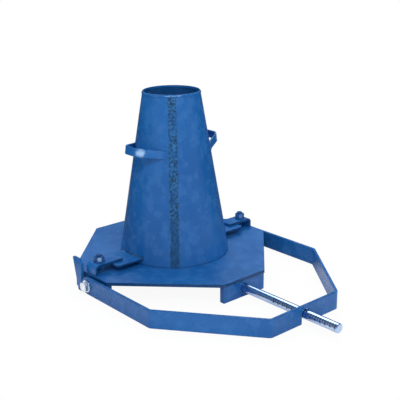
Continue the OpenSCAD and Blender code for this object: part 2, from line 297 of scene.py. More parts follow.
# Foot bars
# Four lengths of flat steel bar stand on edge under the square sides of the plate.
# The front and rear bars are bored for the tamping rod and the side bars for the pivot bolts.
foot_low, foot_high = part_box("front_foot")
foot_round = 0.0012
pivot_z = -0.0195
rod_bore = 0.0084
pivot_bore = 0.00505
upright = Matrix.Rotation(pi / 2, 4, "X")
foot_outline = [
    (foot_low.x, foot_low.z), (foot_high.x, foot_low.z),
    (foot_high.x, foot_high.z), (foot_low.x, foot_high.z)]
foot_turns = {"front_foot": 0, "right_hinge_foot": pi / 2, "rear_foot": pi, "left_hinge_foot": -pi / 2}
for node, turn in foot_turns.items():
    bore = pivot_bore if "hinge" in node else rod_bore
    place = Matrix.Rotation(turn, 4, "Z") @ Matrix.Translation((0, foot_high.y, 0)) @ upright
    foot = cut_flat(foot_outline, [(0, pivot_z, bore)], foot_high.y - foot_low.y, place)
    piece(node + "_painted", soften(foot, foot_round), blue_enamel, "base", "blue_enamel", node)

# Foot welds
# Two runs of fillet weld hold each bar, in the corner between its inner face and the plate.
# They were laid by hand in short ripples and painted over with the rest.
foot_weld = 0.005
foot_weld_run = 0.026
ripple = 0.0024
ripple_shape = (0.9, 0.98, 1.05, 1.08, 1.0)
bead_sides = 12
bead_unrest = 0.16
bead_grain = 310
foot_weld_in = foot_weld * 0.28
foot_weld_half = foot_weld * 0.62
foot_weld_high = foot_weld * 0.45
foot_weld_start = foot_high.x * 0.98


def edges_in(made):
    """The edges among the parts that an operator made."""
    return [part for part in made if isinstance(part, bmesh.types.BMEdge)]


def points_of(loop):
    """The points of a loop of edges, each once and in order."""
    return list(dict.fromkeys(vert for edge in loop for vert in edge.verts))


def run_on(bm, loop, way):
    """Carries an open loop of edges straight on and gives the new loop."""
    loop = edges_in(bmesh.ops.extrude_edge_only(bm, edges=loop)["geom"])
    bmesh.ops.translate(bm, vec=way, verts=points_of(loop))
    return loop


def lay_bead(bm, route, wide, high, up):
    """A rippled run of weld along a route, wide across it and high towards up."""
    along = (route[-1] - route[0]).normalized()
    across = up.cross(along).normalized()
    shape = Matrix((across * wide, along.cross(across) * high, along)).transposed().to_4x4()
    ring = bmesh.ops.create_circle(
        bm, cap_ends=True, segments=bead_sides, radius=1, matrix=Matrix.Translation(route[0]) @ shape)
    cap = ring["verts"][0].link_faces[0]
    loop = cap.edges[:]
    size = 1
    for step, (here, there) in enumerate(zip(route, route[1:])):
        loop = run_on(bm, loop, there - here)
        swell = ripple_shape[step % len(ripple_shape)] + bead_unrest * noise(there * bead_grain)
        growth = (swell / size,) * 3
        bmesh.ops.scale(bm, vec=growth, space=Matrix.Translation(-there), verts=points_of(loop))
        size = swell
    bmesh.ops.edgeloop_fill(bm, edges=loop)


def straight(start, end):
    """Points from start to end, close enough for ripples."""
    steps = max(2, round((end - start).length / ripple * len(ripple_shape)))
    return [start.lerp(end, step / steps) for step in range(steps + 1)]


welds = bmesh.new()
corner_y = foot_high.y + foot_weld_in
corner_z = foot_high.z - foot_weld_in
for turn in foot_turns.values():
    for end in (-1, 1):
        first = Vector((end * foot_weld_start, corner_y, corner_z))
        last = first - Vector((end * foot_weld_run, 0, 0))
        about = Matrix.Rotation(turn, 3, "Z")
        slant = about @ Vector((0, 1, -1))
        lay_bead(welds, straight(about @ first, about @ last), foot_weld_half, foot_weld_high, slant)
bmesh.ops.recalc_face_normals(welds, faces=welds.faces[:])
piece("foot_welds_painted", welds, blue_enamel, "base", "blue_enamel", "foot_welds")

# Bail stop
# An upright plate behind the left pivot catches the swung-up bail. It is sawn from flat bar with
# one corner taken off, and a block welded to the foot carries it in line with the bail's arm.
stop_thick = 0.006
stop_root = 0.012
stop_head = 0.025
stop_cut = 0.008
stop_block_high = 0.02
stop_round = 0.0008
on_edge = Matrix(((0, 0, 1, 0), (1, 0, 0, 0), (0, 1, 0, 0), (0, 0, 0, 1)))


def block(low, high):
    """A plain bar end between two corners."""
    bm = bmesh.new()
    middle = Matrix.Translation((low + high) / 2)
    bmesh.ops.create_cube(bm, size=1, matrix=middle @ Matrix.Diagonal((*(high - low), 1)))
    return bm


def join(*parts):
    """Several meshes as one."""
    whole = bmesh.new()
    for part in parts:
        mesh = bpy.data.meshes.new("part")
        part.to_mesh(mesh)
        part.free()
        whole.from_mesh(mesh)
        bpy.data.meshes.remove(mesh)
    return whole


low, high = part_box("left_bail_stop")
stop_outline = [
    (low.y, low.z), (low.y + stop_root, low.z), (low.y + stop_head, high.z),
    (low.y + stop_cut, high.z), (low.y, high.z - stop_cut)]
lug = cut_flat(stop_outline, [], stop_thick, Matrix.Translation((low.x, 0, 0)) @ on_edge)
carrier = block(
    Vector((low.x + stop_thick, low.y, low.z)),
    Vector((high.x, low.y + stop_root, low.z + stop_block_high)))
stop = join(soften(lug, stop_round), soften(carrier, stop_round))
piece("left_bail_stop_painted", stop, blue_enamel, "base", "blue_enamel", "left_bail_stop")

# Pivot bolts, spacers, washers and nuts
# A bright zinc-plated bolt is the hinge pin of each arm of the bail, with a spacer on the foot's
# outer face, washers under its head and its nut, and the nut drawn up inside the foot.
zinc_light = (0.92, 0.95, 0.98, 1)
zinc_dull = (0.7, 0.76, 0.82, 1)
zinc_gloss = 0.2
plated_round = 0.0003
merge_gap = 1e-6


def plated(name, bright, dull, gloss):
    """Bright plating: spangled grey, a little dull in patches, rubbed bright on corners."""
    finish, place = new_finish(name)
    patches = place.grain(90, 4).step(0.35, 0.7)
    edges = place.marked("worn")
    lay_on(finish, place, {
        "Base Color": (patches * (1 - 0.7 * edges)).between(bright, dull),
        "Metallic": 1.0,
        "Roughness": gloss + 0.16 * patches,
        "Normal": place.grain(700, 2).relief(0.25, 0.0002),
    })
    return finish


def softened_copy(node, width):
    """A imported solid's own shape with its edges rounded."""
    bm = bmesh.new()
    bm.from_mesh(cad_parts[node].data)
    bmesh.ops.remove_doubles(bm, verts=bm.verts[:], dist=merge_gap)
    join_flats(bm)
    return soften(bm, width)


bright_zinc = plated("bright_zinc", zinc_light, zinc_dull, zinc_gloss)
for node in ("left_pivot_bolt", "right_pivot_bolt", "pivot_spacers", "pivot_washers", "pivot_nuts"):
    piece(node + "_plated", softened_copy(node, plated_round), bright_zinc, "base", "zinc", node)

# Clamp studs
# Two studs of cut thread stand in the plate's side holes, welded underneath.
# They carry the clamps and were painted dark before the nuts went on.
stud_r = 0.005
thread_pitch = 0.0015
thread_depth = 0.0008
crest_shares = (0.45, 0.55)
spare_turns = 3
turn_steps = 28
navy_deep = (0.004, 0.05, 0.18, 1)
navy_light = (0.008, 0.08, 0.28, 1)
navy_thin = (0.02, 0.12, 0.32, 1)
navy_paint = (navy_deep, navy_light, navy_thin)
navy_gloss = 0.3
dark_enamel = enamel("dark_enamel", *navy_paint, navy_gloss)


def threaded(x, low, high):
    """A length of cut thread on an upright axis at x, its ends faced off square."""
    bm = bmesh.new()
    turns = round((high - low) / thread_pitch) + spare_turns
    start = low - thread_pitch * spare_turns / 2
    root_r = stud_r - thread_depth
    profile = [(root_r, 0), *((stud_r, share) for share in crest_shares), (root_r, 1)]
    points = [bm.verts.new((x + r, 0, start + share * thread_pitch)) for r, share in profile]
    edges = [bm.edges.new(pair) for pair in zip(points, points[1:])]
    bmesh.ops.spin(
        bm, geom=points + edges, cent=(x, 0, 0), axis=(0, 0, 1), angle=2 * pi * turns,
        steps=turn_steps * turns, dvec=(0, 0, thread_pitch / turn_steps), use_merge=False)
    bmesh.ops.remove_doubles(bm, verts=bm.verts[:], dist=merge_gap)
    for level, side in ((low, 1), (high, -1)):
        cut = bmesh.ops.bisect_plane(
            bm, geom=bm.verts[:] + bm.edges[:] + bm.faces[:], dist=merge_gap,
            plane_co=(0, 0, level), plane_no=(0, 0, side), clear_inner=True)
        bmesh.ops.contextual_create(bm, geom=edges_in(cut["geom_cut"]))
    bmesh.ops.recalc_face_normals(bm, faces=bm.faces[:])
    return bm


for side, node in ((-1, "left_clamp_stud"), (1, "right_clamp_stud")):
    low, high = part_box(node)
    stud = threaded(side * stud_x, low.z, high.z)
    piece(node + "_threaded", stud, dark_enamel, "base", "clamp_hardware", node)

# Cone
# Sheet steel rolled to a cone, open at both ends, 200 mm across inside at the foot and 100 mm
# at the mouth. The rollers left it very slightly uneven, the enamel is rough and darkened with
# painted shade inside, a painted shadow darkens it along its foot, and the heat of the long seam
# burnt it on both sides.
cone_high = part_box("cone_shell")[1]
mouth_r = 0.05
cone_wall = 0.0016
cone_r = cone_high.x
cone_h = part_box("cone_top_rim")[1].z
cone_lean = (cone_r - cone_wall - mouth_r) / cone_h
cone_steps = 160
cone_rings = 36
uneven = 0.00012
uneven_grain = 22
seam_turn = radians(231.5)
seam_way = Vector((cos(seam_turn), sin(seam_turn), 0))
seam_half = 0.007
seam_burnt = (0.006, 0.045, 0.11, 1)
seam_grey = (0.035, 0.165, 0.4, 1)
# Painted shade: the colour that darkens the inside of the mould.
inside_shade_colour = (0.004, 0.05, 0.17, 1)
burnt_full = seam_half * 0.9
burnt_end = seam_half * 1.9
burnt_taper = 0.014
burnt_share = 0.75
inside_shade_share = 0.55
seam_side = 0.01
sheet_inner = cone_r - cone_wall * 0.6
sheet_outer = cone_r - cone_wall * 0.4
# Painted contact shadow: a darker band at the cone's foot, where it stands on the plate.
foot_shadow_low = 0.0004
foot_shadow_high = 0.0045
foot_shadow_share = 0.6


def cone_out(z):
    """Outside radius of the sheet at a height."""
    return cone_r - cone_lean * z


def lathe(profile, axis, steps):
    """A closed profile of (radius, height) turned round an upright axis at x."""
    bm = bmesh.new()
    points = [bm.verts.new((axis + r, 0, z)) for r, z in profile]
    edges = [bm.edges.new(pair) for pair in zip(points, points[1:] + points[:1])]
    bmesh.ops.spin(
        bm, geom=points + edges, cent=(axis, 0, 0), axis=(0, 0, 1), angle=2 * pi,
        steps=steps, use_merge=True)
    bmesh.ops.recalc_face_normals(bm, faces=bm.faces[:])
    return bm


def cone_enamel(name):
    """Enamel on the rolled sheet: burnt mottles by the seam, rough with painted shade inside, painted
    shadow at the foot.
    """
    finish, place = new_finish(name)
    coat = enamel_coat(place, *blue_paint, blue_gloss)
    ahead = place.vector("DOT_PRODUCT", seam_way, "Value")
    aside = place.vector("DOT_PRODUCT", (-seam_way.y, seam_way.x, 0), "Value")
    height = place.along("Z")
    distance = aside.math("ABSOLUTE", aside, 0) + place.ragged(0.012, 90, 4) + burnt_taper * height
    burnt = (1 - distance.step(burnt_full, burnt_end)) * ahead.step(0, seam_side)
    reach = place.vector("MULTIPLY", (1, 1, 0)).vector("LENGTH", output="Value")
    # Painted shade: the inside of the sheet is darkened, and it is also made rougher.
    shaded_inside = 1 - (reach + cone_lean * height).step(sheet_inner, sheet_outer)
    mottled = place.grain(230, 4).step(0.4, 0.62).between(seam_burnt, seam_grey)
    colour = (burnt_share * burnt).between(coat["Base Color"], mottled)
    # Painted contact shadow: darker at the foot, fading out a few millimetres up.
    foot_shadow = 1 - (height + place.ragged(0.006, 75, 4)).step(foot_shadow_low, foot_shadow_high)
    colour = (foot_shadow_share * foot_shadow).between(colour, blue_thin)
    coat["Base Color"] = (inside_shade_share * shaded_inside).between(colour, inside_shade_colour)
    coat["Roughness"] = coat["Roughness"] + 0.2 * burnt + 0.2 * shaded_inside
    lay_on(finish, place, coat)
    return finish


sheet_profile = [(cone_out(share / cone_rings * cone_high.z), share / cone_rings * cone_high.z)
                 for share in range(cone_rings + 1)]
sheet_profile += [(r - cone_wall, z) for r, z in reversed(sheet_profile)]
sheet = lathe(sheet_profile, 0, cone_steps)
for vert in sheet.verts:
    out = vert.co.xy.normalized() * uneven * noise(vert.co * uneven_grain)
    vert.co.xy += out
piece("cone_shell_painted", sheet, cone_enamel("cone_enamel"), "base", "blue_enamel", "cone_shell")

# Mouth rim
# The sheet's top edge is turned over and closed to a thick round hem, which stiffens the mouth
# and gives the strike-off bar a smooth edge to run on.
rim_low, rim_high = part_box("cone_top_rim")
hem_round = 0.0059
hem_start = radians(9)
hem_end = radians(53)
hem_lip = 0.00045
hem_steps = 10
rim_gloss = 0.12
rim_shine = {"Coat Weight": 1.0, "Coat Roughness": 0.1}
hem_profile = [(mouth_r, rim_low.z)]
for step in range(hem_steps + 1):
    angle = hem_start + (hem_end - hem_start) * step / hem_steps
    hem_profile.append((
        rim_high.x + hem_round * (cos(angle) - cos(hem_start)),
        rim_low.z + hem_round * (sin(angle) - sin(hem_start))))
lip_r = hem_profile[-1][0] - hem_lip * cos(hem_end)
lip_z = hem_profile[-1][1] - hem_lip * sin(hem_end)
for step in range(1, hem_steps + 1):
    angle = hem_end + (pi - hem_end) * step / hem_steps
    hem_profile.append((lip_r + hem_lip * cos(angle), lip_z + hem_lip * sin(angle)))
hem = lathe(hem_profile, 0, cone_steps)
rim_enamel, place = new_finish("rim_enamel")
rim_coat = enamel_coat(place, *blue_paint, rim_gloss)
lay_on(rim_enamel, place, rim_coat | rim_shine)
piece("cone_top_rim_painted", hem, rim_enamel, "base", "blue_enamel", "cone_top_rim")

# Long seam
# The rolled sheet is closed by one weld from foot to rim. It was ground only roughly, so the
# paint is thin on it and the burnt metal shows through in grey-green mottles.
seam_rise = 0.0009
seam_inset = 0.0008
seam_pits = (0.005, 0.025, 0.06, 1)


def mottled_weld(name):
    """Weld metal under thin paint: blue, burnt grey-green and dark pits in fine mottles."""
    finish, place = new_finish(name)
    mottles = place.grain(230, 5).step(0.4, 0.62)
    patches = place.grain(42, 3).step(0.36, 0.66)
    pits = place.grain(520, 2).step(0.56, 0.66)
    height = place.along("Z")
    colour = mottles.between(seam_burnt, seam_grey)
    colour = (0.5 * patches).between(colour, blue_deep)
    colour = (0.45 * (1 - height.step(0, cone_h * 0.6))).between(colour, seam_burnt)
    colour = (0.7 * pits).between(colour, seam_pits)
    lay_on(finish, place, {
        "Base Color": colour,
        "Roughness": 0.5 + 0.2 * mottles,
        "Normal": (mottles - 0.8 * pits).relief(0.5, 0.0004),
        "IOR": 1.3,
    })
    return finish


seam = bmesh.new()
seam_foot = seam_way * cone_out(0) + Vector((0, 0, seam_inset))
seam_top = seam_way * cone_out(cone_high.z) + Vector((0, 0, cone_high.z - seam_inset))
lay_bead(seam, straight(seam_foot, seam_top), seam_half, seam_rise, seam_way)
bmesh.ops.recalc_face_normals(seam, faces=seam.faces[:])
piece("cone_seam_weld_laid", seam, mottled_weld("mottled_weld"), "base", "seam_weld", "cone_seam_weld")

# Handles
# Two flat strips are bent to bows with a straight middle and two straight legs, which run on to
# the cone and are welded to it by their ends. Each bow's plane stands square to the sheet.
handle_z = 0.1886
bow_stand = 0.0277
bow_flat = 0.0364
bow_bend = 0.018
bow_bite = 0.0032
strip_wide = 0.015
strip_thick = 0.003
strip_round = 0.0007
# Painted highlight: the pale colour laid on the bends of the handles.
handle_highlight_blue = (0.4, 0.62, 0.9, 1)
highlight_turn_share = 0.78
highlight_share = 0.8
highlight_full = 0.002
highlight_end = 0.0105
end_bite = 0.0006
bend_steps = 12
halvings = 30
lean_angle = atan(cone_lean)
bow_sheet = cone_out(handle_z) * cos(lean_angle)
bow_corner = Vector((bow_sheet + bow_stand, bow_flat / 2))
bow_leg = bow_sheet - bow_bite
bow_turn = atan2(bow_corner.y, bow_corner.x) + acos(bow_leg / bow_corner.length)
bow_bend_out = bow_bend + strip_thick
bow_centre = bow_corner - bow_bend_out * Vector((1, tan(bow_turn / 2)))
leg_out = Vector((cos(bow_turn), sin(bow_turn)))
leg_start = bow_centre + leg_out * bow_bend_out
leg_end = leg_out * bow_leg
bow_plane = Matrix.Translation((0, 0, handle_z)) @ Matrix.Rotation(-lean_angle, 4, "Y")


def bend_on(bm, loop, centre, axis, angle):
    """Carries an open loop of edges round a bend and gives the new loop."""
    made = bmesh.ops.spin(
        bm, geom=loop + points_of(loop), cent=centre, axis=axis, angle=angle, steps=bend_steps,
        use_merge=False)
    return edges_in(made["geom_last"])


def on_sheet(start, end, height):
    """Where a line across the bow's plane, at a height in the strip, meets the sheet."""
    for _ in range(halvings):
        middle = (start + end) / 2
        point = bow_plane @ Vector((*middle, height))
        if point.xy.length > cone_out(point.z):
            start = middle
        else:
            end = middle
    return point


def bow():
    """The right handle: half a strip bent on from its middle, mirrored, and its ends cut to the cone."""
    bm = bmesh.new()
    inner = bow_corner.x - strip_thick
    half_wide = strip_wide / 2
    corners = [
        (inner, 0, -half_wide), (bow_corner.x, 0, -half_wide),
        (bow_corner.x, 0, half_wide), (inner, 0, half_wide)]
    points = [bm.verts.new(corner) for corner in corners]
    loop = [bm.edges.new(pair) for pair in zip(points, points[1:] + points[:1])]
    loop = run_on(bm, loop, (0, bow_centre.y, 0))
    loop = bend_on(bm, loop, (*bow_centre, 0), (0, 0, 1), bow_turn)
    loop = run_on(bm, loop, (*(leg_end - leg_start), 0))
    bmesh.ops.mirror(
        bm, geom=bm.verts[:] + bm.edges[:] + bm.faces[:], matrix=Matrix(), merge_dist=-1, axis="Y")
    bmesh.ops.remove_doubles(bm, verts=bm.verts[:], dist=merge_gap)
    bmesh.ops.transform(bm, matrix=bow_plane, verts=bm.verts[:])
    inset = leg_out * strip_thick / 2
    meet = on_sheet(leg_start - inset, leg_end - inset, 0)
    for side in (-1, 1):
        at = Vector((meet.x, side * meet.y, meet.z))
        out = Vector((at.x, at.y, at.xy.length * cone_lean)).normalized()
        half = [face for face in bm.faces if face.calc_center_median().y * side > bow_corner.y]
        half += dict.fromkeys(part for face in half for part in (*face.edges, *face.verts))
        cut = bmesh.ops.bisect_plane(
            bm, geom=half, dist=merge_gap, plane_co=at - out * end_bite, plane_no=out, clear_inner=True)
        bmesh.ops.edgeloop_fill(bm, edges=edges_in(cut["geom_cut"]))
    join_flats(bm)
    return soften(bm, strip_round)


def rubbed_enamel(name):
    """Enamel on the handles, with a pale highlight painted on the bends of the bows."""
    finish, place = new_finish(name)
    coat = enamel_coat(place, *blue_paint, blue_gloss)
    angle = bow_turn * highlight_turn_share
    middle = bow_centre + bow_bend_out * Vector((cos(angle), sin(angle)))
    bend = bow_plane @ Vector((*middle, 0))
    distance = place.vector("ABSOLUTE").vector("DISTANCE", bend, "Value")
    # The pale patch on each bend is a painted highlight.
    rubbed_and_highlight = 1 - (distance + place.ragged(0.012, 150, 4)).step(highlight_full, highlight_end)
    coat["Base Color"] = (highlight_share * rubbed_and_highlight).between(coat["Base Color"], handle_highlight_blue)
    lay_on(finish, place, coat)
    return finish


handle_enamel = rubbed_enamel("handle_enamel")
side_turns = {"right": 0, "left": pi}
for side, turn in side_turns.items():
    handle = bow()
    bmesh.ops.rotate(handle, matrix=Matrix.Rotation(turn, 3, "Z"), verts=handle.verts[:])
    piece(side + "_handle_painted", handle, handle_enamel, "base", "blue_enamel", side + "_handle")

# Handle welds
# A short bead of weld metal runs up the outer corner of each handle's end, where the strip
# meets the sheet. It holds the handle and was painted over with it.
handle_bead = 0.0013
handle_bead_half = 0.00208
handle_welds = bmesh.new()
for turn in side_turns.values():
    for side in (-1, 1):
        ends = []
        for height in (-strip_wide / 2, strip_wide / 2):
            point = on_sheet(leg_start, leg_end, height)
            point.y *= side
            point.rotate(Matrix.Rotation(turn, 3, "Z"))
            ends.append(point)
        outward = Vector((ends[0].x, ends[0].y, 0))
        lay_bead(handle_welds, straight(*ends), handle_bead_half, handle_bead, outward)
bmesh.ops.recalc_face_normals(handle_welds, faces=handle_welds.faces[:])
piece("handle_welds_painted", handle_welds, blue_enamel, "base", "blue_enamel", "handle_welds")

# Foot tabs
# A flat tab with rounded corners is welded to each side of the cone, a little above the plate.
# The clamp straps press on these tabs to hold the cone down.
tab_low, tab_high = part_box("right_foot_tab")
tab_corner = 0.008
tab_round = 0.0008
tab_seat = 0.0005
corner_steps = 10


def arc(x, y, radius, start, end, steps):
    """Points of an arc about x, y between two angles."""
    angles = [start + (end - start) * step / steps for step in range(steps + 1)]
    return [(x + radius * cos(angle), y + radius * sin(angle)) for angle in angles]


tab_meets = cone_out(tab_low.z) - tab_seat
tab_spread = asin(tab_high.y / tab_meets)
tab_outline = arc(0, 0, tab_meets, tab_spread, -tab_spread, 2 * corner_steps)
tab_outline += arc(tab_high.x - tab_corner, tab_low.y + tab_corner, tab_corner, -pi / 2, 0, corner_steps)
tab_outline += arc(tab_high.x - tab_corner, tab_high.y - tab_corner, tab_corner, 0, pi / 2, corner_steps)
for side, turn in side_turns.items():
    place = Matrix.Rotation(turn, 4, "Z") @ Matrix.Translation((0, 0, tab_low.z))
    tab = cut_flat(tab_outline, [], tab_high.z - tab_low.z, place)
    # The tab's darker cut edges are painted shade.
    tab = mark(soften(tab, tab_round), "cut", cut_edge)
    piece(side + "_foot_tab_painted", tab, blue_enamel, "base", "blue_enamel", side + "_foot_tab")

# Tab welds
# One bead runs along the top of each tab where it meets the cone. Its colour is painted
# dark, as shade in the crease between the tab and the cone.
tab_bead = 0.0021
# Painted shade: the bead's dark enamel stands for shade in the crease.
crease_shade_enamel = enamel("crease_shade_enamel", seam_burnt, blue_thin, seam_burnt, plate_gloss)
tab_welds = bmesh.new()
for turn in side_turns.values():
    bead_r = cone_out(tab_high.z)
    bead_spread = asin((tab_high.y - tab_round) / bead_r)
    bead_steps = round(2 * bead_spread * bead_r / ripple * len(ripple_shape))
    about = Matrix.Rotation(turn, 3, "Z")
    route = [about @ Vector((x, y, tab_high.z))
             for x, y in arc(0, 0, bead_r, -bead_spread, bead_spread, bead_steps)]
    lay_bead(tab_welds, route, tab_bead, tab_bead, Vector((0, 0, 1)))
bmesh.ops.recalc_face_normals(tab_welds, faces=tab_welds.faces[:])
piece("tab_welds_painted", tab_welds, crease_shade_enamel, "base", "blue_enamel", "tab_welds")

# Bail
# One length of flat bar, bent on the flat to half an octagon, with a round eye at each end for
# the pivot bolts. A notch sawn in the middle of its bridge drops over the tamping rod.
bail_low, bail_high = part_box("bail_bar")
bail_thick = 0.005
bail_bend = 0.006
bail_arm = 0.176
bridge = 0.158
notch_r = 0.009
notch_block = 0.014
bail_round = 0.0009
bail_gap = 1e-5
eye_reach = 0.022
eye_r = (bail_high.z - bail_low.z) / 2
bail_out = bail_high.x
bail_reach = -bail_low.y
diagonal = Vector((bail_out - bridge / 2, bail_reach - bail_arm))
bridge_turn = diagonal.angle(Vector((1, 0)))
arm_turn = pi / 2 - bridge_turn
outer_bend = bail_bend + bail_thick
arm_tangent = outer_bend * tan(arm_turn / 2)
bridge_tangent = outer_bend * tan(bridge_turn / 2)


def open_end(bm, way):
    """Opens the end face that lies furthest along a way and gives its edges."""
    face = max(bm.faces, key=lambda each: each.calc_center_median().dot(way))
    loop = face.edges[:]
    bmesh.ops.delete(bm, geom=[face], context="FACES_ONLY")
    return loop


eye_outline = [(-eye_reach, -eye_r)] + arc(0, 0, eye_r, -pi / 2, pi / 2, 4 * corner_steps)
eye_outline.append((-eye_reach, eye_r))
eye_place = Matrix.Translation((bail_out - bail_thick, 0, pivot_z)) @ on_edge
half_bail = cut_flat(eye_outline, [(0, 0, pivot_bore)], bail_thick, eye_place)
loop = open_end(half_bail, Vector((0, -1, 0)))
loop = run_on(half_bail, loop, (0, eye_reach + arm_tangent - bail_arm, 0))
arm_centre = Vector((bail_out - outer_bend, arm_tangent - bail_arm, 0))
loop = bend_on(half_bail, loop, arm_centre, (0, 0, -1), arm_turn)
slant = diagonal * (1 - (arm_tangent + bridge_tangent) / diagonal.length)
loop = run_on(half_bail, loop, (-slant.x, -slant.y, 0))
bridge_centre = Vector((bridge / 2 - bridge_tangent, outer_bend - bail_reach, 0))
loop = bend_on(half_bail, loop, bridge_centre, (0, 0, -1), bridge_turn)
loop = run_on(half_bail, loop, (notch_block - bridge_centre.x, 0, 0))
bmesh.ops.mirror(
    half_bail, geom=half_bail.verts[:] + half_bail.edges[:] + half_bail.faces[:],
    matrix=Matrix(), merge_dist=-1, axis="X")
notch_outline = [(-notch_block, bail_low.z), (-notch_r, bail_low.z)]
notch_outline += arc(0, pivot_z, notch_r, pi, 0, 2 * corner_steps)
notch_outline += [(notch_r, bail_low.z), (notch_block, bail_low.z)]
notch_outline += [(notch_block, bail_high.z), (-notch_block, bail_high.z)]
notch_place = Matrix.Translation((0, bail_thick - bail_reach, 0)) @ upright
middle = cut_flat(notch_outline, [], bail_thick, notch_place)
open_end(middle, Vector((1, 0, 0)))
open_end(middle, Vector((-1, 0, 0)))
bail = join(half_bail, middle)
bmesh.ops.remove_doubles(bail, verts=bail.verts[:], dist=bail_gap)
join_flats(bail)
piece("bail_bar_painted", soften(bail, bail_round), blue_enamel, "bail", "blue_enamel", "bail_bar")

# Tamping rod
# A polished round bar, bevelled at its free end and domed at the tamping end behind.
# It lies in the bores of the front and rear feet and under the bail's notch.
rod_low, rod_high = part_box("tamping_rod")
rod_r = rod_high.x
rod_bevel = 0.001
rod_steps = 64
dome_steps = 12
# The blue tint of these steel colours is a painted reflection.
steel_bright_blue_reflection = (0.57, 0.71, 0.93, 1)
steel_dull_blue_reflection = (0.4, 0.54, 0.77, 1)


def drawn_steel(name):
    """Polished drawn bar: fine rings left by the polishing belt, a few duller patches and a painted blue
    reflection.
    """
    finish, place = new_finish(name)
    rings = place.add("Mapping", {}, {"Vector": place, "Scale": (6, 900, 6)}).grain(1, 3)
    patches = place.grain(26, 3).step(0.4, 0.7)
    lay_on(finish, place, {
        "Base Color": patches.between(steel_bright_blue_reflection, steel_dull_blue_reflection),
        "Metallic": 1.0,
        "Roughness": 0.1 + 0.08 * patches + 0.08 * rings,
        "Normal": rings.relief(0.12, 0.0001),
    })
    return finish


along_rod = Matrix.Translation((0, rod_low.y, pivot_z)) @ Matrix.Rotation(-pi / 2, 4, "X")
rod_length = rod_high.y - rod_low.y
rod_profile = [(0, 0), (rod_r - rod_bevel, 0), (rod_r, rod_bevel)]
rod_profile += [(rod_r * cos(angle), rod_length - rod_r + rod_r * sin(angle))
                for angle in (pi / 2 * step / dome_steps for step in range(dome_steps))]
rod_profile.append((0, rod_length))
rod = lathe(rod_profile, 0, rod_steps)
bmesh.ops.remove_doubles(rod, verts=rod.verts[:], dist=merge_gap)
bmesh.ops.transform(rod, matrix=along_rod, verts=rod.verts[:])
bmesh.ops.recalc_face_normals(rod, faces=rod.faces[:])
piece("tamping_rod_polished", rod, drawn_steel("polished_steel"), "rod", "bright_rod", "tamping_rod")

# Rod scale
# Half-centimetre and centimetre marks are rolled into the rod from its free end, with plain
# numbers at each centimetre, and the marks are filled with black.
scale_marks = 27
scale_pitch = 0.005
scale_start = 0.004
mark_proud = 0.00004
number_high = 0.006
number_gap = 0.0006
number_cuts = 6
mark_cuts = 6
scale_turn = radians(22)
mark_spans = (radians(70), radians(45))
mark_widths = (0.0015, 0.0012)
ink_black = (0.012, 0.014, 0.02, 1)
ink_grey = (0.05, 0.055, 0.065, 1)


def etched_ink(name):
    """Black filling in rolled marks, rubbed grey in places."""
    finish, place = new_finish(name)
    rubbed_and_highlight = place.grain(380, 3).step(0.5, 0.72)
    lay_on(finish, place, {
        "Base Color": rubbed_and_highlight.between(ink_black, ink_grey),
        "Roughness": 0.45 + 0.2 * rubbed_and_highlight,
        "Normal": place.grain(900, 2).relief(0.2, 0.0001),
    })
    return finish


def wrapped(bm):
    """Bends a flat mesh round the rod: x runs along it and y round it, from the scale's edge."""
    for vert in bm.verts:
        angle = scale_turn - vert.co.y / rod_r
        reach = rod_r + mark_proud
        vert.co = Vector((-reach * sin(angle), rod_low.y + vert.co.x, pivot_z + reach * cos(angle)))
    return bm


marks = bmesh.new()
for step in range(scale_marks):
    span = mark_spans[step % 2] * rod_r
    at = Matrix.Translation((scale_start + step * scale_pitch, -span / 2, 0))
    size = Matrix.Diagonal((mark_widths[step % 2], span, 1, 1))
    bmesh.ops.create_grid(marks, x_segments=1, y_segments=mark_cuts, size=0.5, matrix=at @ size)
numbers = []
for centimetre in range(1, scale_marks // 2 + 1):
    words = bpy.data.curves.new("number", "FONT")
    words.body = str(centimetre)
    words.size = number_high
    words.align_x = "RIGHT"
    holder = bpy.data.objects.new("number", words)
    number = bmesh.new()
    number.from_mesh(holder.to_mesh())
    holder.to_mesh_clear()
    bpy.data.objects.remove(holder)
    bpy.data.curves.remove(words)
    for cut in range(1, number_cuts + 1):
        bmesh.ops.bisect_plane(
            number, geom=number.verts[:] + number.edges[:] + number.faces[:],
            plane_co=(0, number_high * cut / (number_cuts + 2), 0), plane_no=(0, 1, 0))
    along = scale_start + 2 * centimetre * scale_pitch - number_gap
    across = -mark_spans[0] * rod_r
    bmesh.ops.translate(number, vec=(along, across, 0), verts=number.verts[:])
    numbers.append(number)
rod_scale = wrapped(join(marks, *numbers))
bmesh.ops.remove_doubles(rod_scale, verts=rod_scale.verts[:], dist=merge_gap)
for face in rod_scale.faces:
    middle = face.calc_center_median() - Vector((0, 0, pivot_z))
    if face.normal.dot(Vector((middle.x, 0, middle.z))) < 0:
        face.normal_flip()
piece("rod_scale_marks", rod_scale, etched_ink("etched_ink"), "rod", "bright_rod")

